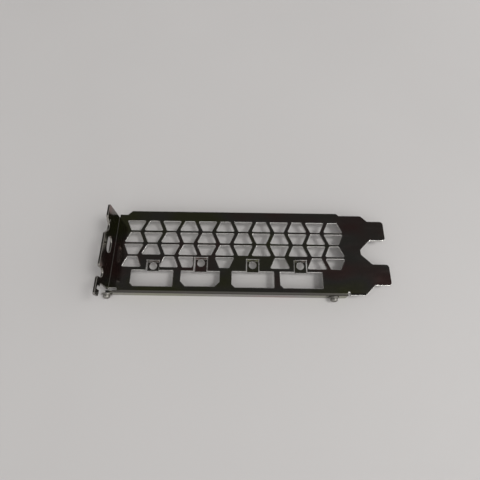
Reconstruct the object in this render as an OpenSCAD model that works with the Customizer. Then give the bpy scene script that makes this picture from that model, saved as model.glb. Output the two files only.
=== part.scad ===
// Double-slot expansion card bracket: one folded sheet with a vent grille, four port openings,
// stepped screw pads, two tongues, a slotted mounting flange and a board flange with its two screws.
// Drawn from the outer corner of the folds: X runs from the mounting flange to the tongues,
// Y from the board flange across the two slots, Z = 0 is the outer face of the plate.
// The finished bracket is then placed with its origin in the closed screw slot of the flange.

/* [Sheet] */
// Thickness of the sheet
sheet_t = 0.8; // [0.6:0.05:1]
// Inside radius of both folds
fold_r = 0.2; // [0.1:0.05:0.5]
// Corner radius of the punched openings
punch_r = 0.3; // [0.1:0.05:0.5]

/* [Plate] */
// Length from the outer face of the mounting flange to the tongue tips
plate_len = 120; // [116:0.5:124]
// Width over the raised middle stretch of the edge
plate_w = 37.9; // [37:0.1:38.7]
// Where the raised stretch begins
raised_from = 4.4; // [3:0.1:8]
// Where the raised stretch ends
raised_to = 100.3; // [97:0.1:103]
// How far the edge steps in beside the mounting flange
neck_step = 1.85; // [1:0.05:2.5]
// How far the edge steps in beside the tongues
shoulder_step = 1; // [0.4:0.05:1.4]

/* [Tongues] */
// Distance between the two expansion slots
slot_pitch = 20.32; // [20:0.01:20.6]
// Centre of the lower tongue above the lower edge
tongue_y = 9.15; // [8.5:0.05:9.8]
// Width of a tongue
tongue_w = 9.5; // [8.5:0.05:10.2]
// Straight length of a tongue
tongue_len = 7.1; // [5.5:0.1:8]
// Corner radius at the tongue tips
tongue_r = 1.5; // [0.5:0.1:3]
// Depth of the vee between the tongues, past their roots
vee_depth = 4.4; // [2:0.1:5]

/* [Grille] */
// Number of columns of vents
vent_cols = 12; // [10:1:12]
// Distance between columns
vent_pitch_x = 8; // [7.6:0.05:8.1]
// Distance between rows
vent_pitch_y = 5.68; // [5.5:0.01:5.8]
// Centre of the first column
vent_x = 9; // [8:0.1:10]
// Lower side of the lowest row
vent_y = 11.35; // [11.2:0.05:11.6]
// Long side of a vent
vent_wide = 8; // [7:0.1:8.4]
// Short side of a vent
vent_narrow = 4; // [3:0.1:4.4]
// Height of a vent
vent_h = 4.45; // [3.8:0.05:4.6]

/* [Ports] */
// Width of the three wide port openings
port_w = 17.9; // [17:0.1:18.4]
// Height of the wide port openings
port_h = 6.8; // [6.4:0.1:6.9]
// Corner cut of the wide port openings
port_cut = 1.4; // [0.5:0.1:2.5]
// Lower side of the wide port openings
port_y = 2.85; // [2.6:0.05:2.9]
// Width of the narrow port opening
slim_w = 16.6; // [15.5:0.1:17]
// Height of the narrow port opening
slim_h = 6.4; // [5.8:0.1:6.7]
// Corner cuts of the narrow port opening
slim_cut = 2.1; // [1:0.1:2.5]
// Lower side of the narrow port opening
slim_y = 3.1; // [2.9:0.05:3.2]

/* [Screw pads] */
// Width of a stepped pad
pad_w = 5; // [4.4:0.1:5.4]
// How far a pad is set back from the plate
pad_drop = 1; // [0.8:0.05:1.2]
// Distance from the hole centre to the top of the step
pad_rise = 2.3; // [2.3:0.05:2.6]
// Width of the slits beside a pad
pad_slit = 0.3; // [0.2:0.05:0.6]
// Diameter of the pad holes
pad_hole_d = 3.2; // [2.6:0.1:3.4]

/* [Mounting flange] */
// Height of the flange over the plate's outer face
flange_h = 12.6; // [11.9:0.1:13.5]
// Upper end of the flange
flange_top = 34.8; // [34:0.1:35.5]
// Lower end of the flange body
flange_low = 1.3; // [1.2:0.1:1.6]
// Width of the screw slots
slot_w = 4.42; // [4:0.01:4.6]
// Length of the closed screw slot
slot_len = 7.2; // [6.5:0.1:8]
// Centre of the closed slot across the plate
slot_y = 18.7; // [18:0.1:19.2]
// Height of the slot centres over the plate's outer face
slot_z = 6.35; // [6:0.05:6.6]
// Length of the finger below the flange body
finger_len = 5.3; // [4.6:0.1:6]
// Width of the nick across the finger
nick_w = 1.4; // [0.8:0.1:1.6]
// Depth of the nick across the finger
nick_depth = 2.5; // [1:0.1:2.8]
// Centre of the shallow edge notch
notch_y = 25.3; // [25:0.1:26]
// Width of the shallow edge notch at its mouth
notch_w = 7.4; // [6.6:0.1:8]
// Width of the shallow edge notch at its foot
notch_foot = 2.4; // [2:0.1:3.5]
// Depth of the shallow edge notch
notch_depth = 3.1; // [2.2:0.1:3.6]
// Centre of the deep edge notch
gap_y = 5.4; // [5.1:0.1:5.9]
// Width of the deep edge notch
gap_w = 3.8; // [3:0.1:4.4]
// Depth of the deep edge notch
gap_depth = 4.8; // [3:0.1:5.5]

/* [Board flange] */
// Depth of the board flange behind the plate's outer face
board_h = 5.4; // [5.4:0.1:7]
// Near end of the board flange
board_from = 2.1; // [1.8:0.1:3]
// Far end of the board flange
board_to = 101.2; // [100.8:0.1:102.5]
// Width of the relief slit at the near end of the fold
relief_w = 1.1; // [0.8:0.05:1.3]
// How far the near relief slit reaches in past the end of the flange
relief_reach = 2.1; // [1.2:0.05:2.6]
// Width of the relief notch at the far end of the fold
far_relief_w = 0.7; // [0.4:0.05:1]

/* [Board screws] */
// Places of the two screws along the flange
screw_x = [-0.6, 95.7];
// Thread diameter
screw_d = 2; // [1.6:0.1:2.4]
// Length under the head
screw_len = 1.5; // [1.2:0.1:4]
// Clearance round the thread
screw_gap = 0.05; // [0.03:0.01:0.1]
// Diameter of the washer face
washer_d = 4.3; // [3.8:0.1:4.4]
// Thickness of the washer face
washer_t = 0.5; // [0.3:0.05:0.8]
// Diameter of the head
head_d = 3; // [2.6:0.1:3.6]
// Height of the head over the washer face
head_h = 1.5; // [1.2:0.1:2.4]

/* [Hidden] */
$fn = 64;

plated = [0.16, 0.16, 0.14];
screw_steel = [0.35, 0.34, 0.32];

// The outside of both folds
fold_out = sheet_t + fold_r;
// Cuts run this far past the sheet on each side
past = 1;

// Roots of the tongues, and the two tongue centres
root_x = plate_len - tongue_len;
tongues = [tongue_y, tongue_y + slot_pitch];
half_tongue = tongue_w / 2;
shoulder_y = plate_w - shoulder_step;
neck_y = plate_w - neck_step;

// Which vents of the lowest row are punched, counted from the mounting flange
low_row = [1, 0, 1, 1, 0, 1, 0, 0, 1, 0, 1, 1];
vent_rows = 4;
// The vent beside the narrow port's pad is cut short on that side
short_col = 3;
short_by = 1.5;

// Ports: centre along the plate, height of the pad hole over the lower edge, narrow or not
ports = [
    [18.3, 11.9, false],
    [38.9, 13.5, true],
    [61.25, 12.9, false],
    [81.8, 12.8, false]
];

// Step of a pad, along the plate and at its foot
step_run = 0.5;
pad_t = sheet_t;

// Open screw slot, one expansion slot below the closed one
open_slot_z = slot_z + slot_w / 2;
nick_y = flange_low - finger_len * 0.38;
flange_corner = 1;
mouth_r = 1.1;
gap_foot_r = gap_w * 0.45;
tip_r = 0.8;

relief_end = board_from + relief_reach;
relief_y = fold_out - sheet_t / 2;
// The screws sit in the middle of the flat of the board flange, the near one in a round ear
screw_depth = (fold_out + board_h) / 2;
ear_r = (board_h - fold_out) / 2;
hole_r = screw_d / 2 + screw_gap;
recess_depth = 0.8;
recess_w = 0.45;
recess_r = 1;

// Outlines ---------------------------------------------------------------

function unit(v) = v / norm(v);

// The points of a round corner at b, between a and c
function corner(a, b, c, r) =
    let (
        u = unit(a - b),
        v = unit(c - b),
        half = acos(u * v) / 2,
        mid = b + unit(u + v) * r / sin(half),
        p = b + u * r / tan(half) - mid,
        q = b + v * r / tan(half) - mid,
        turn = sign(p.x * q.y - p.y * q.x) * (180 - 2 * half),
        steps = max(2, ceil((180 - 2 * half) / (r < 1 ? 30 : 15)))
    )
    [for (i = [0 : steps])
        let (w = atan2(p.y, p.x) + turn * i / steps)
        mid + r * [cos(w), sin(w)]];

// An outline of [x, y, corner radius]
function rounded(pts) =
    let (n = len(pts), flat = [for (p = pts) [p.x, p.y]])
    [for (i = [0 : n - 1])
        each pts[i].z > 0
            ? corner(flat[(i + n - 1) % n], flat[i], flat[(i + 1) % n], pts[i].z)
            : [flat[i]]];

// Sheets and folds ---------------------------------------------------------

// The plate lies with its outer face at Z = 0
module plate_sheet() {
    translate([0, 0, -sheet_t]) linear_extrude(sheet_t) children();
}

// Drawn in Y and Z, standing on the plate, with its outer face at X = 0
module flange_sheet() {
    rotate([90, 0, 90]) linear_extrude(sheet_t) children();
}

// Drawn in X and Z, hanging behind the plate, with its outer face at Y = 0
module board_sheet() {
    translate([0, sheet_t, 0]) rotate([90, 0, 0]) linear_extrude(sheet_t) children();
}

// A quarter of the fold's ring, whose outside touches the sheets at fold_out
module fold_section() {
    intersection() {
        difference() {
            circle(fold_out);
            circle(fold_r);
        }
        translate([-fold_out, -fold_out]) square(fold_out);
    }
}

// Plate -------------------------------------------------------------------

module plate_outline() {
    vee_y = tongues[0] + half_tongue;
    vee_top = tongues[1] - half_tongue;
    low_cut = tongues[0] - half_tongue;
    top_cut = shoulder_y - tongues[1] - half_tongue;
    polygon(rounded([
        [fold_out, fold_out, 0],
        [board_to, fold_out, 0],
        [board_to, 0, 0],
        [root_x - low_cut, 0, tip_r],
        [root_x, low_cut, tip_r],
        [plate_len, low_cut, tongue_r],
        [plate_len, vee_y, tongue_r],
        [root_x, vee_y, tip_r],
        [root_x - vee_depth, vee_y + vee_depth, tip_r],
        [root_x - vee_depth, vee_top - vee_depth, tip_r],
        [root_x, vee_top, tip_r],
        [plate_len, vee_top, tongue_r],
        [plate_len, tongues[1] + half_tongue, tongue_r],
        [root_x, tongues[1] + half_tongue, tip_r],
        [root_x - top_cut, shoulder_y, tip_r],
        [raised_to, shoulder_y, 0],
        [raised_to - shoulder_step, plate_w, punch_r],
        [raised_from + neck_step, plate_w, punch_r],
        [raised_from, neck_y, 0],
        [fold_out, neck_y, 0]
    ]));
}

// One vent, a six-sided cell cut in half by a bar, with its long side up or down
module vent(upright) {
    low = upright ? vent_wide / 2 : vent_narrow / 2;
    high = upright ? vent_narrow / 2 : vent_wide / 2;
    polygon(rounded([
        [-low, 0, punch_r],
        [low, 0, punch_r],
        [high, vent_h, punch_r],
        [-high, vent_h, punch_r]
    ]));
}

// The vent that gives way to a pad ends in an upright side
module short_vent() {
    low = vent_narrow / 2;
    high = vent_wide / 2 - short_by;
    slope_h = vent_h * (high - low) / (vent_wide / 2 - low);
    polygon(rounded([
        [-low, 0, punch_r],
        [low, 0, punch_r],
        [high, slope_h, 0],
        [high, vent_h, punch_r],
        [-vent_wide / 2, vent_h, punch_r]
    ]));
}

// Neighbouring columns are turned over, so that the cells interlock
module grille() {
    for (col = [0 : vent_cols - 1], row = [0 : vent_rows - 1]) {
        if (row > 0 || low_row[col] == 1) {
            translate([vent_x + col * vent_pitch_x, vent_y + row * vent_pitch_y])
                if (row == 0 && col == short_col) short_vent();
                else vent((col + row) % 2 == 0);
        }
    }
}

module port_opening(narrow) {
    w = narrow ? slim_w : port_w;
    h = narrow ? slim_h : port_h;
    cut = narrow ? slim_cut : port_cut;
    y = narrow ? slim_y : port_y;
    far = narrow ? [[w / 2 - cut, 0, punch_r], [w / 2, cut, punch_r]] : [[w / 2, 0, punch_r]];
    translate([0, y]) polygon(rounded(concat(
        [[-w / 2, cut, punch_r], [-w / 2 + cut, 0, punch_r]],
        far,
        [[w / 2, h, punch_r], [-w / 2, h, punch_r]]
    )));
}

function port_top(port) = port[2] ? slim_y + slim_h : port_y + port_h;

// The window that a pad and its slits take out of the plate
module pad_window(port) {
    w = pad_w + 2 * pad_slit;
    low = port_top(port) - past;
    translate([port[0] - w / 2, low]) square([w, port[1] + pad_rise - low]);
}

// The step and the set-back pad, hanging from the top of its window down to the port
module pad(port) {
    top = port[1] + pad_rise;
    difference() {
        translate([port[0] + pad_w / 2, 0, 0])
            rotate([90, 0, -90]) linear_extrude(pad_w) polygon([
                [-top - past, 0],
                [-top, 0],
                [-top + step_run, -pad_drop],
                [-port_top(port), -pad_drop],
                [-port_top(port), -pad_drop - pad_t],
                [-top + step_run - sheet_t / 2, -pad_drop - pad_t],
                [-top - sheet_t / 2, -sheet_t],
                [-top - past, -sheet_t]
            ]);
        translate([port[0], port[1], -pad_drop - pad_t - past])
            cylinder(d = pad_hole_d, h = pad_t + 2 * past);
    }
}

// The slit that frees the near end of the board fold, and cuts a little into its bend
module near_relief() {
    r = relief_w / 2;
    translate([-past, relief_y]) square([relief_end + past - r, relief_w]);
    translate([relief_end - r, relief_y + r]) circle(r);
}

// The notch at the far end of the fold
module far_relief() {
    translate([board_to, -past]) square([far_relief_w, past + fold_out]);
    translate([board_to + far_relief_w / 2, fold_out]) circle(d = far_relief_w);
}

module plate() {
    plate_sheet() difference() {
        plate_outline();
        grille();
        for (port = ports) {
            translate([port[0], 0]) port_opening(port[2]);
            pad_window(port);
        }
        near_relief();
        far_relief();
    }
    for (port = ports) pad(port);
}

// Mounting flange --------------------------------------------------------------

module flange_outline() {
    finger_end = flange_low - finger_len;
    notch_z = flange_h - notch_depth;
    gap_z = flange_h - gap_depth;
    difference() {
        polygon(rounded([
            [flange_low, fold_r, 0],
            [flange_top, fold_r, 0],
            [flange_top, flange_h, flange_corner],
            // shallow notch in the outer edge
            [notch_y + notch_w / 2, flange_h, mouth_r],
            [notch_y + notch_foot / 2, notch_z, mouth_r],
            [notch_y - notch_foot / 2, notch_z, mouth_r],
            [notch_y - notch_w / 2, flange_h, mouth_r],
            // deep notch with a round foot
            [gap_y + gap_w / 2, flange_h, mouth_r],
            [gap_y + gap_w / 2, gap_z, gap_foot_r],
            [gap_y - gap_w / 2, gap_z, gap_foot_r],
            [gap_y - gap_w / 2, flange_h, mouth_r],
            // finger beside the place of the lower screw, nicked in its middle
            [finger_end, flange_h, tip_r],
            [finger_end, open_slot_z, tip_r],
            [nick_y - nick_w / 2, open_slot_z, punch_r],
            [nick_y - nick_w / 2, open_slot_z + nick_depth, punch_r],
            [nick_y + nick_w / 2, open_slot_z + nick_depth, punch_r],
            [nick_y + nick_w / 2, open_slot_z, punch_r],
            [flange_low, open_slot_z, punch_r]
        ]));
        // closed screw slot
        for (side = [-1, 1])
            translate([slot_y + side * (slot_len - slot_w) / 2, slot_z]) circle(d = slot_w);
        translate([slot_y - (slot_len - slot_w) / 2, slot_z - slot_w / 2])
            square([slot_len - slot_w, slot_w]);
    }
}

module mounting_flange() {
    flange_sheet() flange_outline();
    // the fold up from the plate
    translate([fold_out, flange_top, fold_r]) rotate([90, 0, 0])
        linear_extrude(flange_top - flange_low) fold_section();
}

// Board flange -----------------------------------------------------------------

module board_outline() {
    low = -board_h;
    high = -fold_out;
    difference() {
        union() {
            polygon(rounded([
                [board_from, high, 0],
                [board_from, low, 0],
                [board_to, low, tip_r],
                [board_to, high, 0]
            ]));
            // the ear that carries the near screw past the mounting flange
            translate([screw_x[0], -screw_depth]) circle(ear_r);
            translate([screw_x[0], low]) square([board_from - screw_x[0] + past, high - low]);
        }
        for (x = screw_x) translate([x, -screw_depth]) circle(hole_r);
    }
}

module board_flange() {
    board_sheet() board_outline();
    // the fold back from the plate
    difference() {
        translate([board_from, fold_out, -fold_out]) rotate([90, 0, 90])
            linear_extrude(board_to - board_from) mirror([0, 1]) fold_section();
        translate([0, 0, -sheet_t]) linear_extrude(sheet_t + past) near_relief();
    }
}

module bracket() {
    color(plated) {
        plate();
        mounting_flange();
        board_flange();
    }
}

// Screws -----------------------------------------------------------------------

// Pan head on a washer face, with a cross recess; its axis is Z and its head points up
module screw() {
    r = head_d / 2;
    crown = r / 2;
    chamfer = screw_d / 8;
    difference() {
        rotate_extrude() polygon(concat(
            [[0, -screw_len], [screw_d / 2 - chamfer, -screw_len], [screw_d / 2, -screw_len + chamfer],
             [screw_d / 2, 0], [washer_d / 2, 0], [washer_d / 2, washer_t], [r, washer_t]],
            [for (w = [0 : 15 : 90]) [r - crown + crown * cos(w), washer_t + head_h - crown + crown * sin(w)]],
            [[0, washer_t + head_h]]
        ));
        translate([0, 0, washer_t + head_h - recess_depth]) intersection() {
            cylinder(r1 = recess_w / 2, r2 = recess_r, h = recess_depth);
            for (turn = [0, 90]) rotate(turn)
                translate([-recess_r, -recess_w / 2, 0]) cube([2 * recess_r, recess_w, recess_depth]);
        }
    }
}

module board_screws() {
    color(screw_steel)
        for (x = screw_x) translate([x, 0, -screw_depth]) rotate([90, 0, 0]) screw();
}

// The closed screw slot, on the flange face that sits on the chassis, is the origin
module placed() {
    translate([-sheet_t, -slot_y, -slot_z]) children();
}

placed() bracket();
placed() board_screws();
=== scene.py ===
"""Dresses the folded bracket and its two screws, and sets them on a pale table top."""

import math

import bmesh
import bpy
from bpy.props import FloatProperty, FloatVectorProperty, PointerProperty
from bpy.types import Operator, Panel, PropertyGroup
from mathutils import Euler, Matrix, Vector
from mathutils.bvhtree import BVHTree


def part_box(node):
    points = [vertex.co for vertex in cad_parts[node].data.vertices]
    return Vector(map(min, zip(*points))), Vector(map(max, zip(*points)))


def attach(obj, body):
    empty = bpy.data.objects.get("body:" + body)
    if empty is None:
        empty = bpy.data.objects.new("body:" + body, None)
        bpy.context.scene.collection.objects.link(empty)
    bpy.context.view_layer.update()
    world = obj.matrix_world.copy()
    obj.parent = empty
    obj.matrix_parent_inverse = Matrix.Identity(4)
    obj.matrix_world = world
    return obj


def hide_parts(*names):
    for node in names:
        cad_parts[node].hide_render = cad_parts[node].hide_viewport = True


bl_info = {
    "name": "Slot Bracket",
    "version": (1, 0, 0),
    "blender": (4, 5, 0),
    "location": "View3D > Sidebar > Bracket",
    "description": "Plated double-slot card bracket with its board screws",
    "category": "Object",
}

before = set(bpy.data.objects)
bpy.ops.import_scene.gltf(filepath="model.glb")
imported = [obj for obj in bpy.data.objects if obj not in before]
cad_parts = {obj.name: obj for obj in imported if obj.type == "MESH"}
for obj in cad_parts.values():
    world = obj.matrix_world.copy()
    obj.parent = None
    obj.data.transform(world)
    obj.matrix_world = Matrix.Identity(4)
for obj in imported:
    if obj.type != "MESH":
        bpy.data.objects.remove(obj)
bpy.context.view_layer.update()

MM = 0.001
BRACKET_LOW, BRACKET_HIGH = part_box("bracket")
SCREWS_LOW, SCREWS_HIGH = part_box("board_screws")
SHEET_T = 0.8 * MM
FOLD_OUT = 1.0 * MM
# The plate's outer face and the outer faces of the two flanges
PLATE_Z = -6.35 * MM
FLANGE_X = -0.8 * MM
BOARD_Y = -18.7 * MM
# The far end of the board flange's bend
BOARD_END = 100.5 * MM
# The pads' windows lie between the ports' upper sides and this height, and are this wide
PORT_TOP = BOARD_Y + 9 * MM
PAD_TOP = BOARD_Y + 16 * MM
PAD_WINDOW = 5.6 * MM
# The pads' side slits are between these lengths
SLIT_SHORT, SLIT_LONG = 2 * MM, 5.6 * MM

# The sheet's materials, in the order of its slots
BROAD, CUT, ROLLED = 0, 1, 2
# Edges that turn by less than this belong to a curve and aren't rounded
SHARP_EDGE = math.radians(38)
ROUND_SEGMENTS = 3
# A corner that lies further off the sheet than this share of the rounding is a stray one
STRAY_SHARE = 0.4
# Faces whose normals have a larger product than this are shaded as one
SHADE_LIMIT = math.cos(math.radians(50))
# A face is square to an axis when its normal has a part along it larger than this
SQUARE_TO_AXIS = 0.9999
FLAT_WEIGHT = 1e6

RECESS_DEPTH, RECESS_ARM, RECESS_WIDTH = 0.8 * MM, 1.0 * MM, 0.45 * MM
SCREW_EDGE, SCREW_EDGE_ANGLE = 0.04 * MM, math.radians(45)
# How far each screw is turned on its axis
SCREW_TURNS = (0.5, 1.1)

LAMP_PLACE, LAMP_SIZE = (0.61, -0.15, 0.95), (0.26, 0.26)
LAMP_TINT = (1, 0.985, 0.97)
ROOM_TINT = (1, 0.985, 0.975, 1)
# The dark part of the room: its middle, its flattening, and the cosines of its soft rim
DARK_AIM, DARK_FLATTEN, DARK_RIM = (0.03, 0.67, 1), (1, 1.8, 1), (0.7, 0.92)
# The way to the window, and the cosines between which the room brightens
WINDOW_AIM, WINDOW_RIM = (0.85, -0.45, 0.1), (-0.6, 0.8)
CAMERA_PLACE = (0.055417, -0.052551, 0.134823)
CAMERA_TURN = (22.3678, -0.0996, 0.8559)


# ---------------------------------------------------------------- sizes and colours

class SheetSettings(PropertyGroup):
    die_roll: FloatProperty(
        name="Die roll", description="Rounding of the edges on the side that the punch enters",
        default=0.24 * MM, min=0, max=0.3 * MM, unit="LENGTH", precision=5)
    burr_side: FloatProperty(
        name="Burr side", description="Rounding of the other edges, as a share of the die roll",
        default=0.25, min=0, max=1, subtype="FACTOR")
    tone: FloatVectorProperty(
        name="Plating", description="Colour of the dark plating",
        default=(0.21, 0.2, 0.185), size=3, min=0, max=1, subtype="COLOR")
    olive: FloatVectorProperty(
        name="Olive tint", description="Colour of the thinner plating",
        default=(0.2, 0.205, 0.11), size=3, min=0, max=1, subtype="COLOR")
    plum: FloatVectorProperty(
        name="Plum tint", description="Colour of the thicker plating",
        default=(0.24, 0.15, 0.14), size=3, min=0, max=1, subtype="COLOR")
    dull_tone: FloatVectorProperty(
        name="Dulled plating", description="Colour of the fine handling marks",
        default=(0.24, 0.235, 0.22), size=3, min=0, max=1, subtype="COLOR")
    # painted highlight: the bright colour given to the rounded edges
    edge_highlight_tone: FloatVectorProperty(
        name="Rolled edge", description="Colour of the rounded edges, rubbed bright",
        default=(0.6, 0.59, 0.57), size=3, min=0, max=1, subtype="COLOR")
    # painted shade: the colour that darkens the plating along both folds
    bend_shade_tone: FloatVectorProperty(
        name="Bends", description="Colour of the plating along the bends",
        default=(0.07, 0.066, 0.06), size=3, min=0, max=1, subtype="COLOR")
    cut_tone: FloatVectorProperty(
        name="Cut edge", description="Colour of the punched edges",
        default=(0.8, 0.79, 0.77), size=3, min=0, max=1, subtype="COLOR")
    roughness: FloatProperty(
        name="Roughness", description="Roughness of the flat faces",
        default=0.13, min=0, max=1, subtype="FACTOR")


class ScrewSettings(PropertyGroup):
    tone: FloatVectorProperty(
        name="Steel", description="Colour of the screws",
        default=(0.3, 0.29, 0.27), size=3, min=0, max=1, subtype="COLOR")
    washer_r: FloatProperty(
        name="Washer radius", description="Radius of the washer face",
        default=2.15 * MM, min=1.5 * MM, max=3 * MM, unit="LENGTH", precision=5)
    washer_t: FloatProperty(
        name="Washer thickness", description="Thickness of the washer face",
        default=0.5 * MM, min=0.2 * MM, max=1 * MM, unit="LENGTH", precision=5)
    head_r: FloatProperty(
        name="Head radius", description="Radius of the pan head",
        default=1.5 * MM, min=1 * MM, max=2.4 * MM, unit="LENGTH", precision=5)
    head_h: FloatProperty(
        name="Head height", description="Height of the pan head over its washer face",
        default=1.5 * MM, min=1 * MM, max=3 * MM, unit="LENGTH", precision=5)
    root_r: FloatProperty(
        name="Thread root", description="Radius at the root of the thread",
        default=0.8 * MM, min=0.5 * MM, max=1 * MM, unit="LENGTH", precision=5)
    crest_r: FloatProperty(
        name="Thread crest", description="Radius at the crest of the thread",
        default=1.0 * MM, min=0.6 * MM, max=1.2 * MM, unit="LENGTH", precision=5)
    length: FloatProperty(
        name="Length", description="Length under the head",
        default=1.5 * MM, min=1 * MM, max=5 * MM, unit="LENGTH", precision=5)
    pitch: FloatProperty(
        name="Pitch", description="Distance between two turns of the thread",
        default=0.4 * MM, min=0.3 * MM, max=0.7 * MM, unit="LENGTH", precision=5)


class StageSettings(PropertyGroup):
    table_tone: FloatVectorProperty(
        name="Table", description="Colour of the table top",
        default=(0.56, 0.55, 0.545), size=3, min=0, max=1, subtype="COLOR")
    table_size: FloatProperty(
        name="Table size", description="Length of the table top's sides",
        default=3.0, min=0.5, max=10, unit="LENGTH")
    overhead: FloatProperty(
        name="Overhead light",
        description="Brightness of the dark part of the room over the table",
        default=0.07, min=0, max=1)
    room: FloatProperty(
        name="Room light", description="Brightness of the room to the left of the table",
        default=0.42, min=0, max=3)
    window: FloatProperty(
        name="Window light", description="Brightness of the room to the right of the table",
        default=1.3, min=0, max=5)
    key: FloatProperty(
        name="Main lamp", description="Power of the wide lamp on the right",
        default=3.4, min=0, max=200, unit="POWER")
    lens: FloatProperty(
        name="Lens", description="Focal length of the camera",
        default=25.875, min=10, max=200, subtype="DISTANCE_CAMERA")


# ---------------------------------------------------------------- shared tools

def settings():
    return bpy.context.scene.slot_bracket_sheet, bpy.context.scene.slot_bracket_screw


def new_object(name, bm, materials=()):
    """A mesh object at the origin, made from bm, which is freed."""
    mesh = bpy.data.meshes.new(name)
    bm.to_mesh(mesh)
    bm.free()
    obj = bpy.data.objects.new(name, mesh)
    bpy.context.scene.collection.objects.link(obj)
    for material in materials:
        mesh.materials.append(material)
    return obj


def evaluated_bmesh(obj):
    """The mesh of obj with its modifiers, as a new bmesh; obj is removed."""
    graph = bpy.context.evaluated_depsgraph_get()
    bm = bmesh.new()
    bm.from_mesh(obj.evaluated_get(graph).to_mesh())
    bpy.data.objects.remove(obj)
    return bm


def settle_normals(mesh):
    """Keeps the faces square to an axis flat, and lets the others run smoothly into them."""
    round_vertex = [[] for _ in mesh.vertices]
    for face in mesh.polygons:
        normal = face.normal.copy()
        flat = max(abs(c) for c in normal) > SQUARE_TO_AXIS
        weight = FLAT_WEIGHT if flat else (face.area / MM ** 2) ** 2
        for index in face.vertices:
            round_vertex[index].append((normal, weight))
    normals = []
    for face in mesh.polygons:
        for index in face.vertices:
            total = Vector()
            for normal, weight in round_vertex[index]:
                if normal.dot(face.normal) > SHADE_LIMIT:
                    total += normal * weight
            normals.append(total.normalized() if total.length > 0 else face.normal.copy())
    mesh.normals_split_custom_set(normals)


def round_edges(obj, width, angle=None, material=-1):
    """The object again with the weighted edges, or those sharper than angle, rounded."""
    sharp = BVHTree.FromPolygons(
        [vert.co for vert in obj.data.vertices], [face.vertices for face in obj.data.polygons])
    bevel = obj.modifiers.new("edge_round", "BEVEL")
    bevel.width = width
    bevel.segments = ROUND_SEGMENTS
    bevel.profile = 0.5
    bevel.material = material
    bevel.use_clamp_overlap = False
    if angle is None:
        bevel.limit_method = "WEIGHT"
    else:
        bevel.limit_method = "ANGLE"
        bevel.angle_limit = angle
    name, materials = obj.name, list(obj.data.materials)
    bm = evaluated_bmesh(obj)
    # a corner that the rounding threw off the sheet goes back onto it
    for vert in bm.verts:
        place, _, _, gap = sharp.find_nearest(vert.co)
        if gap > STRAY_SHARE * width:
            vert.co = place
    bmesh.ops.remove_doubles(bm, verts=bm.verts, dist=0.004 * MM)
    bmesh.ops.dissolve_degenerate(bm, dist=0.002 * MM, edges=bm.edges)
    bmesh.ops.triangulate(
        bm, faces=[face for face in bm.faces if len(face.verts) > 4], ngon_method="BEAUTY")
    made = new_object(name, bm, materials)
    made.data.shade_smooth()
    settle_normals(made.data)
    return made


def set_range(node, start, end, low, high):
    """Makes a Map Range node turn start to end into low to high."""
    node.inputs["From Min"].default_value = start
    node.inputs["From Max"].default_value = end
    node.inputs["To Min"].default_value = low
    node.inputs["To Max"].default_value = high


class Nodes:
    """A short way to write a material's node tree."""

    def __init__(self, name):
        self.material = bpy.data.materials.new(name)
        self.material.use_nodes = True
        self.tree = self.material.node_tree
        self.tree.nodes.clear()
        self.output = self.add("ShaderNodeOutputMaterial")
        self.shader = self.add("ShaderNodeBsdfPrincipled")
        self.join(self.shader.outputs["BSDF"], self.output.inputs["Surface"])
        self.place = self.add("ShaderNodeTexCoord").outputs["Object"]

    def add(self, kind, **values):
        node = self.tree.nodes.new(kind)
        for key, value in values.items():
            if hasattr(node, key):
                setattr(node, key, value)
            else:
                node.inputs[key.replace("_", " ").title()].default_value = value
        return node

    def join(self, a, b):
        self.tree.links.new(a, b)

    def noise(self, scale, detail=3.0, roughness=0.5, stretch=None):
        """Noise from 0 to 1; stretch scales the place along X, Y and Z first."""
        node = self.add("ShaderNodeTexNoise", Scale=scale, Detail=detail, Roughness=roughness)
        place = self.place
        if stretch:
            mapping = self.add("ShaderNodeMapping")
            mapping.inputs["Scale"].default_value = stretch
            self.join(place, mapping.inputs["Vector"])
            place = mapping.outputs["Vector"]
        self.join(place, node.inputs["Vector"])
        return node.outputs["Fac"]

    def along(self, axis):
        """The place along one axis of the object, in metres."""
        node = self.add("ShaderNodeSeparateXYZ")
        self.join(self.place, node.inputs["Vector"])
        return node.outputs[axis]

    def multiply(self, a, b):
        node = self.add("ShaderNodeMath", operation="MULTIPLY")
        self.join(a, node.inputs[0])
        self.join(b, node.inputs[1])
        return node.outputs["Value"]

    def ramp(self, value, stops):
        """A colour ramp with [place, colour] stops."""
        node = self.add("ShaderNodeValToRGB")
        ends = node.color_ramp.elements
        while len(ends) < len(stops):
            ends.new(0.5)
        for element, (place, colour) in zip(ends, stops):
            element.position = place
            element.color = (*colour, 1)
        self.join(value, node.inputs["Fac"])
        return node.outputs["Color"]

    def spread(self, value, low, high, start=0.3, end=0.7):
        """value from start to end becomes low to high."""
        node = self.add("ShaderNodeMapRange")
        set_range(node, start, end, low, high)
        self.join(value, node.inputs["Value"])
        return node.outputs["Result"]

    def mix(self, factor, a, b):
        node = self.add("ShaderNodeMix", data_type="RGBA")
        colour_a, colour_b = node.inputs[6], node.inputs[7]
        pairs = ((node.inputs["Factor"], factor), (colour_a, a), (colour_b, b))
        for socket, value in pairs:
            if isinstance(value, bpy.types.NodeSocket):
                self.join(value, socket)
            else:
                socket.default_value = value if isinstance(value, float) else (*value, 1)
        return node.outputs[2]

    def bump(self, height, distance, after=None):
        node = self.add("ShaderNodeBump")
        node.inputs["Strength"].default_value = 1.0
        node.inputs["Distance"].default_value = distance
        self.join(height, node.inputs["Height"])
        if after is not None:
            self.join(after, node.inputs["Normal"])
        return node.outputs["Normal"]

    def finish(self, colour, roughness, normal=None, metallic=1.0):
        self.join(colour, self.shader.inputs["Base Color"])
        self.join(roughness, self.shader.inputs["Roughness"])
        if normal is not None:
            self.join(normal, self.shader.inputs["Normal"])
        self.shader.inputs["Metallic"].default_value = metallic
        return self.material


# ---------------------------------------------------------------- finishes

def shaded(tone, share):
    """The colour tone, darkened to a share of itself."""
    return tuple(c * share for c in tone)


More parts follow.
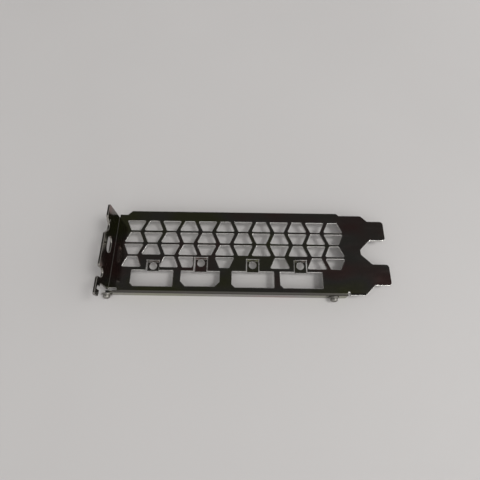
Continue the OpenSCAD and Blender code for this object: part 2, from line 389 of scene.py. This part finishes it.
def plated_face():
    """Dark mirror-bright plating, with clouded tints, rolling lines and fine handling marks, and
    painted shade along the folds.
    """
    sheet, _ = settings()
    n = Nodes("dark_plating")
    bend_shade_tone = tuple(sheet.bend_shade_tone)
    tints = n.noise(scale=34, detail=2.0, roughness=0.45, stretch=(1, 1.6, 1.6))
    clouds = n.ramp(tints, [
        (0.36, tuple(sheet.olive)), (0.5, tuple(sheet.tone)), (0.64, tuple(sheet.plum))])
    marks = n.noise(scale=420, detail=5.0, roughness=0.62, stretch=(0.35, 1.0, 1.0))
    dulled = n.spread(marks, low=0.0, high=0.2, start=0.6, end=0.85)
    colour = n.mix(dulled, clouds, tuple(sheet.dull_tone))
    # painted shade: the plating is coloured darker along both folds, where the sheet was bent
    fold = PLATE_Z - FOLD_OUT
    above = n.spread(n.along("Z"), low=0, high=1, start=fold, end=fold + 0.1 * MM)
    below = n.spread(
        n.along("Z"), low=1, high=0, start=PLATE_Z + 0.2 * MM, end=PLATE_Z + 0.3 * MM)
    board_fold_shade = n.spread(
        n.along("Y"), low=1, high=0, start=BOARD_Y + 0.8 * FOLD_OUT, end=BOARD_Y + FOLD_OUT)
    flange_fold_shade = n.spread(n.along("X"), low=1, high=0, start=0.2 * MM, end=0.25 * MM)
    colour = n.mix(n.multiply(above, board_fold_shade), colour, bend_shade_tone)
    colour = n.mix(n.multiply(below, flange_fold_shade), colour, bend_shade_tone)
    rough = n.spread(
        marks, low=sheet.roughness, high=sheet.roughness + 0.06, start=0.45, end=0.8)
    rolling = n.noise(scale=900, detail=2.0, roughness=0.5, stretch=(0.03, 1.0, 1.0))
    waves = n.noise(scale=120, detail=2.0, roughness=0.5)
    normal = n.bump(rolling, distance=0.004 * MM)
    normal = n.bump(waves, distance=0.06 * MM, after=normal)
    return n.finish(colour, rough, normal)


def cut_face():
    """Punched edge: a dark sheared band on the punch side, and a bright coarse break under it;
    every cut face on the mounting flange stays dark, as painted shade.
    """
    sheet, _ = settings()
    n = Nodes("punched_edge")
    streaks = n.noise(scale=2200, detail=3.0, roughness=0.6, stretch=(1.0, 1.0, 0.06))
    middle = PLATE_Z - 0.5 * SHEET_T
    # painted shade: the dark band also covers every cut face of the mounting flange
    break_with_flange_shade = n.spread(
        n.along("Z"), low=1, high=0, start=middle - 0.1 * MM, end=middle + 0.05 * MM)
    bright = n.ramp(streaks, [(0.3, shaded(sheet.cut_tone, 0.6)), (0.7, tuple(sheet.cut_tone))])
    colour = n.mix(break_with_flange_shade, tuple(sheet.tone), bright)
    rough = n.spread(break_with_flange_shade, low=0.2, high=0.45, start=0, end=1)
    return n.finish(colour, rough, n.bump(streaks, distance=0.01 * MM))


def rolled_edge():
    """Rounded edge of the sheet, coloured bright as a painted highlight."""
    sheet, _ = settings()
    n = Nodes("rolled_edge")
    # painted highlight: this noise streaks the bright colour of the edges and their roughness
    highlit = n.noise(scale=700, detail=3.0, roughness=0.6)
    colour = n.ramp(highlit, [
        (0.3, shaded(sheet.edge_highlight_tone, 0.6)), (0.62, tuple(sheet.edge_highlight_tone))])
    # painted shade: on the mounting flange the edges take the dark plating colour
    flange = n.spread(
        n.along("Z"), low=0, high=1, start=PLATE_Z + 0.1 * MM, end=PLATE_Z + 0.4 * MM)
    colour = n.mix(flange, colour, tuple(sheet.tone))
    return n.finish(colour, n.spread(highlit, low=0.24, high=0.16))


def screw_steel():
    """Plain grey steel with a fine grain that holds a little dirt."""
    _, screw = settings()
    n = Nodes("screw_steel")
    grain = n.noise(scale=1500, detail=4.0, roughness=0.6)
    colour = n.ramp(grain, [(0.3, shaded(screw.tone, 0.55)), (0.62, tuple(screw.tone))])
    rough = n.spread(grain, low=0.24, high=0.42)
    return n.finish(colour, rough, n.bump(grain, distance=0.006 * MM))


def table_top():
    """Pale matt table top, faintly uneven in tone."""
    stage = bpy.context.scene.slot_bracket_stage
    n = Nodes("table_top")
    tone = Vector(stage.table_tone)
    uneven = n.noise(scale=9, detail=3.0, roughness=0.5)
    colour = n.ramp(uneven, [(0.3, tuple(tone * 0.985)), (0.7, tuple(tone * 1.015))])
    rough = n.spread(n.noise(scale=700, detail=2.0, roughness=0.5), low=0.55, high=0.65)
    return n.finish(colour, rough, metallic=0.0)


# ---------------------------------------------------------------- pieces

def on_cut_edge(face):
    """True on a face that runs through the sheet, and False on its broad faces and folds."""
    n, c = face.normal, face.calc_center_median()
    in_flange = c.z > PLATE_Z + FOLD_OUT - SHEET_T + 0.01 * MM
    in_board = c.z < PLATE_Z - FOLD_OUT - 0.01 * MM and c.y < BOARD_Y + SHEET_T * 1.02
    if in_flange:
        return abs(n.x) < 0.5
    if in_board:
        return abs(n.y) < 0.5
    if c.x < FLANGE_X + FOLD_OUT:
        return abs(n.y) > 0.7
    if c.y < BOARD_Y + FOLD_OUT and c.x < BOARD_END:
        return abs(n.x) > 0.7
    return abs(n.z) < 0.35


def on_punch_side(face):
    """True on the side that the punch entered: the outer face, carried round both folds."""
    n, c = face.normal, face.calc_center_median()
    if c.z > PLATE_Z + 0.5 * SHEET_T:
        return n.x > 0.5
    if c.z < PLATE_Z - FOLD_OUT - 0.01 * MM and c.y < BOARD_Y + 2 * SHEET_T:
        return n.y < -0.5
    return n.z > 0.3 or n.x > 0.3 or n.y < -0.3


def beside_pad(edge):
    """True on the edges of the pads' slits and steps, which are sheared and not rolled."""
    a, b = edge.verts[0].co, edge.verts[1].co
    length = (a - b).length
    upright = abs(a.x - b.x) < 0.02 * length
    along = abs(a.y - b.y) < 0.02 * length and abs(length - PAD_WINDOW) < 0.05 * MM
    low = min(a.z, b.z) < PLATE_Z + 0.01 * MM and a.y < PAD_TOP
    stepped = min(a.z, b.z) < PLATE_Z - 0.05 * MM
    slit = upright and SLIT_SHORT < length < SLIT_LONG and a.y > PORT_TOP
    return low and (stepped or along or slit)


def weigh_edges(bm, burr_side):
    """Marks how much each sharp edge is rounded."""
    weight = bm.edges.layers.float.new("bevel_weight_edge")
    for edge in bm.edges:
        if len(edge.link_faces) != 2 or edge.calc_face_angle() < SHARP_EDGE:
            continue
        broad = [face for face in edge.link_faces if face.material_index == BROAD]
        rolled = len(broad) == 1 and on_punch_side(broad[0]) and not beside_pad(edge)
        edge[weight] = 1.0 if rolled else burr_side


class BRACKET_OT_sheet(Operator):
    """Make the folded, punched and plated sheet"""
    bl_idname = "slot_bracket.sheet"
    bl_label = "Folded sheet"

    def execute(self, context):
        sheet = context.scene.slot_bracket_sheet
        bm = bmesh.new()
        bm.from_mesh(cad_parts["bracket"].data)
        bmesh.ops.remove_doubles(bm, verts=bm.verts, dist=0.002 * MM)
        bmesh.ops.dissolve_limit(
            bm, angle_limit=math.radians(1), verts=bm.verts, edges=bm.edges)
        for face in bm.faces:
            face.material_index = CUT if on_cut_edge(face) else BROAD
        weigh_edges(bm, sheet.burr_side)
        materials = [plated_face(), cut_face(), rolled_edge()]
        obj = round_edges(
            new_object("bracket_sheet", bm, materials), sheet.die_roll, material=ROLLED)
        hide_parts("bracket")
        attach(obj, "root")
        return {"FINISHED"}


def screw_body(screw):
    """Shank, washer face and pan head turned about Z, the head up and its seat at Z = 0."""
    bm = bmesh.new()
    crown = screw.head_r * 0.5
    top = screw.washer_t + screw.head_h
    rim, tip = 0.1 * MM, 0.15 * MM
    profile = [
        (0, -screw.length), (screw.root_r - tip, -screw.length),
        (screw.root_r, -screw.length + tip), (screw.root_r, 0),
        (screw.washer_r - rim, 0), (screw.washer_r, rim),
        (screw.washer_r, screw.washer_t - rim), (screw.washer_r - rim, screw.washer_t),
        (screw.head_r, screw.washer_t + 0.02 * MM)]
    steps = 7
    for i in range(steps + 1):
        turn = math.pi / 2 * i / steps
        profile.append((
            screw.head_r - crown + crown * math.cos(turn), top - crown + crown * math.sin(turn)))
    profile.append((0, top))
    verts = [bm.verts.new((r, 0, z)) for r, z in profile]
    edges = [bm.edges.new(pair) for pair in zip(verts, verts[1:])]
    bmesh.ops.spin(
        bm, geom=verts + edges, cent=(0, 0, 0), axis=(0, 0, 1), angle=math.tau, steps=48,
        use_merge=True)
    bmesh.ops.remove_doubles(bm, verts=bm.verts, dist=0.001 * MM)
    bmesh.ops.recalc_face_normals(bm, faces=bm.faces)
    return bm


def cross_cutter(screw):
    """Two crossed wedges, wider at the top, that leave the drive recess."""
    bm = bmesh.new()
    top = screw.washer_t + screw.head_h
    for turn in (0, math.pi / 2):
        made = bmesh.ops.create_cube(bm, size=1.0)["verts"]
        for v in made:
            high = v.co.z > 0
            v.co.x *= 2 * (RECESS_ARM if high else RECESS_ARM * 0.35)
            v.co.y *= RECESS_WIDTH if high else RECESS_WIDTH * 0.7
            v.co.z = top + 0.1 * MM if high else top - RECESS_DEPTH
        bmesh.ops.rotate(bm, verts=made, cent=(0, 0, 0), matrix=Matrix.Rotation(turn, 3, "Z"))
    return bm


def thread_ridge(screw):
    """A ridge that winds up the shank under the head."""
    bm = bmesh.new()
    foot = 0.3 * screw.pitch
    start = -screw.length + 0.12 * MM
    turns = (screw.length - 0.15 * MM) / screw.pitch - 1
    sunk = screw.root_r - 0.06 * MM
    verts = [bm.verts.new(p) for p in (
        (sunk, 0, start - foot), (screw.crest_r, 0, start), (sunk, 0, start + foot))]
    face = bm.faces.new(verts)
    steps = int(32 * turns)
    bmesh.ops.spin(
        bm, geom=[face], cent=(0, 0, 0), axis=(0, 0, 1), angle=math.tau * turns, steps=steps,
        dvec=(0, 0, screw.pitch * turns / steps))
    bmesh.ops.recalc_face_normals(bm, faces=bm.faces)
    return bm


class BRACKET_OT_screws(Operator):
    """Make the two pan head screws on the board flange"""
    bl_idname = "slot_bracket.screws"
    bl_label = "Board screws"

    def execute(self, context):
        screw = context.scene.slot_bracket_screw
        steel = screw_steel()
        body = new_object("screw_blank", screw_body(screw))
        cutter = new_object("recess_blank", cross_cutter(screw))
        cut = body.modifiers.new("recess", "BOOLEAN")
        cut.operation = "DIFFERENCE"
        cut.solver = "EXACT"
        cut.use_self = True
        cut.object = cutter
        one = evaluated_bmesh(body)
        bpy.data.objects.remove(cutter)
        ridge = bpy.data.meshes.new("ridge")
        thread = thread_ridge(screw)
        thread.to_mesh(ridge)
        thread.free()
        one.from_mesh(ridge)
        bpy.data.meshes.remove(ridge)
        single = bpy.data.meshes.new("single")
        one.to_mesh(single)
        one.free()
        middle = (SCREWS_LOW.z + SCREWS_HIGH.z) / 2
        both = bmesh.new()
        places = (SCREWS_LOW.x + screw.washer_r, SCREWS_HIGH.x - screw.washer_r)
        for x, turn in zip(places, SCREW_TURNS):
            placed = single.copy()
            placed.transform(
                Matrix.Translation((x, BOARD_Y, middle))
                @ Matrix.Rotation(math.pi / 2, 4, "X") @ Matrix.Rotation(turn, 4, "Z"))
            both.from_mesh(placed)
            bpy.data.meshes.remove(placed)
        bpy.data.meshes.remove(single)
        obj = round_edges(
            new_object("board_flange_screws", both, [steel]), SCREW_EDGE, SCREW_EDGE_ANGLE)
        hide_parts("board_screws")
        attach(obj, "root")
        return {"FINISHED"}


# ---------------------------------------------------------------- table, light and camera

def area_lamp(name, place, aim, size, power, colour):
    data = bpy.data.lights.new(name, "AREA")
    data.shape = "RECTANGLE"
    data.size, data.size_y = size
    data.energy = power
    data.color = colour
    lamp = bpy.data.objects.new(name, data)
    lamp.location = place
    lamp.rotation_euler = (Vector(aim) - Vector(place)).to_track_quat("-Z", "Y").to_euler()
    bpy.context.scene.collection.objects.link(lamp)


def room_light(stage):
    """A soft room, brighter towards the window on the right, with a dark part over the table."""
    world = bpy.data.worlds.new("room")
    world.use_nodes = True
    tree = world.node_tree
    ground = tree.nodes["Background"]
    ground.inputs["Color"].default_value = ROOM_TINT
    place = tree.nodes.new("ShaderNodeTexCoord")

    def ramp_along(view, aim, rim, low, high, smooth):
        facing = tree.nodes.new("ShaderNodeVectorMath")
        facing.operation = "DOT_PRODUCT"
        facing.inputs[1].default_value = Vector(aim).normalized()
        spread = tree.nodes.new("ShaderNodeMapRange")
        spread.interpolation_type = "SMOOTHSTEP" if smooth else "LINEAR"
        set_range(spread, *rim, low, high)
        tree.links.new(view, facing.inputs[0])
        tree.links.new(facing.outputs["Value"], spread.inputs["Value"])
        return spread.outputs["Result"]

    flattened = tree.nodes.new("ShaderNodeVectorMath")
    flattened.operation = "MULTIPLY"
    flattened.inputs[1].default_value = DARK_FLATTEN
    tree.links.new(place.outputs["Generated"], flattened.inputs[0])
    unit = tree.nodes.new("ShaderNodeVectorMath")
    unit.operation = "NORMALIZE"
    tree.links.new(flattened.outputs["Vector"], unit.inputs[0])
    shade = ramp_along(unit.outputs["Vector"], DARK_AIM, DARK_RIM, 1, 0, True)
    side = ramp_along(
        place.outputs["Generated"], WINDOW_AIM, WINDOW_RIM, stage.room, stage.window, False)
    strength = tree.nodes.new("ShaderNodeMath")
    strength.operation = "MULTIPLY_ADD"
    tree.links.new(shade, strength.inputs[0])
    tree.links.new(side, strength.inputs[1])
    strength.inputs[2].default_value = stage.overhead
    tree.links.new(strength.outputs["Value"], ground.inputs["Strength"])
    bpy.context.scene.world = world


class BRACKET_OT_stage(Operator):
    """Set the table top, the lamp, the room and the camera"""
    bl_idname = "slot_bracket.stage"
    bl_label = "Table, light and camera"

    def execute(self, context):
        stage = context.scene.slot_bracket_stage
        middle = (BRACKET_LOW + BRACKET_HIGH) / 2

        bm = bmesh.new()
        bmesh.ops.create_grid(bm, x_segments=4, y_segments=4, size=stage.table_size / 2)
        bmesh.ops.translate(bm, verts=bm.verts, vec=(middle.x, middle.y, BRACKET_LOW.z))
        table = new_object("table_top", bm, [table_top()])

        room_light(stage)
        area_lamp("main_lamp", LAMP_PLACE, middle, LAMP_SIZE, stage.key, LAMP_TINT)

        data = bpy.data.cameras.new("camera")
        data.sensor_width = 36
        data.lens = stage.lens
        data.clip_start = 0.01
        camera = bpy.data.objects.new("camera", data)
        camera.location = CAMERA_PLACE
        camera.rotation_euler = Euler([math.radians(a) for a in CAMERA_TURN])
        context.scene.collection.objects.link(camera)
        context.scene.camera = camera
        context.scene.view_settings.view_transform = "Standard"
        return {"FINISHED"}


class BRACKET_PT_panel(Panel):
    """Lists the pieces and their settings"""
    bl_idname = "BRACKET_PT_panel"
    bl_label = "Slot bracket"
    bl_space_type = "VIEW_3D"
    bl_region_type = "UI"
    bl_category = "Bracket"

    def draw(self, context):
        for group, operator in (
                ("slot_bracket_sheet", "slot_bracket.sheet"),
                ("slot_bracket_screw", "slot_bracket.screws"),
                ("slot_bracket_stage", "slot_bracket.stage")):
            column = self.layout.column()
            values = getattr(context.scene, group)
            for key in values.bl_rna.properties.keys():
                if key not in ("rna_type", "name"):
                    column.prop(values, key)
            column.operator(operator)


CLASSES = (
    SheetSettings, ScrewSettings, StageSettings,
    BRACKET_OT_sheet, BRACKET_OT_screws, BRACKET_OT_stage, BRACKET_PT_panel)


def register():
    for cls in CLASSES:
        bpy.utils.register_class(cls)
    bpy.types.Scene.slot_bracket_sheet = PointerProperty(type=SheetSettings)
    bpy.types.Scene.slot_bracket_screw = PointerProperty(type=ScrewSettings)
    bpy.types.Scene.slot_bracket_stage = PointerProperty(type=StageSettings)


def unregister():
    del bpy.types.Scene.slot_bracket_stage
    del bpy.types.Scene.slot_bracket_screw
    del bpy.types.Scene.slot_bracket_sheet
    for cls in reversed(CLASSES):
        bpy.utils.unregister_class(cls)


def main():
    register()
    bpy.ops.slot_bracket.sheet()
    bpy.ops.slot_bracket.screws()
    bpy.ops.slot_bracket.stage()


if __name__ == "__main__":
    main()
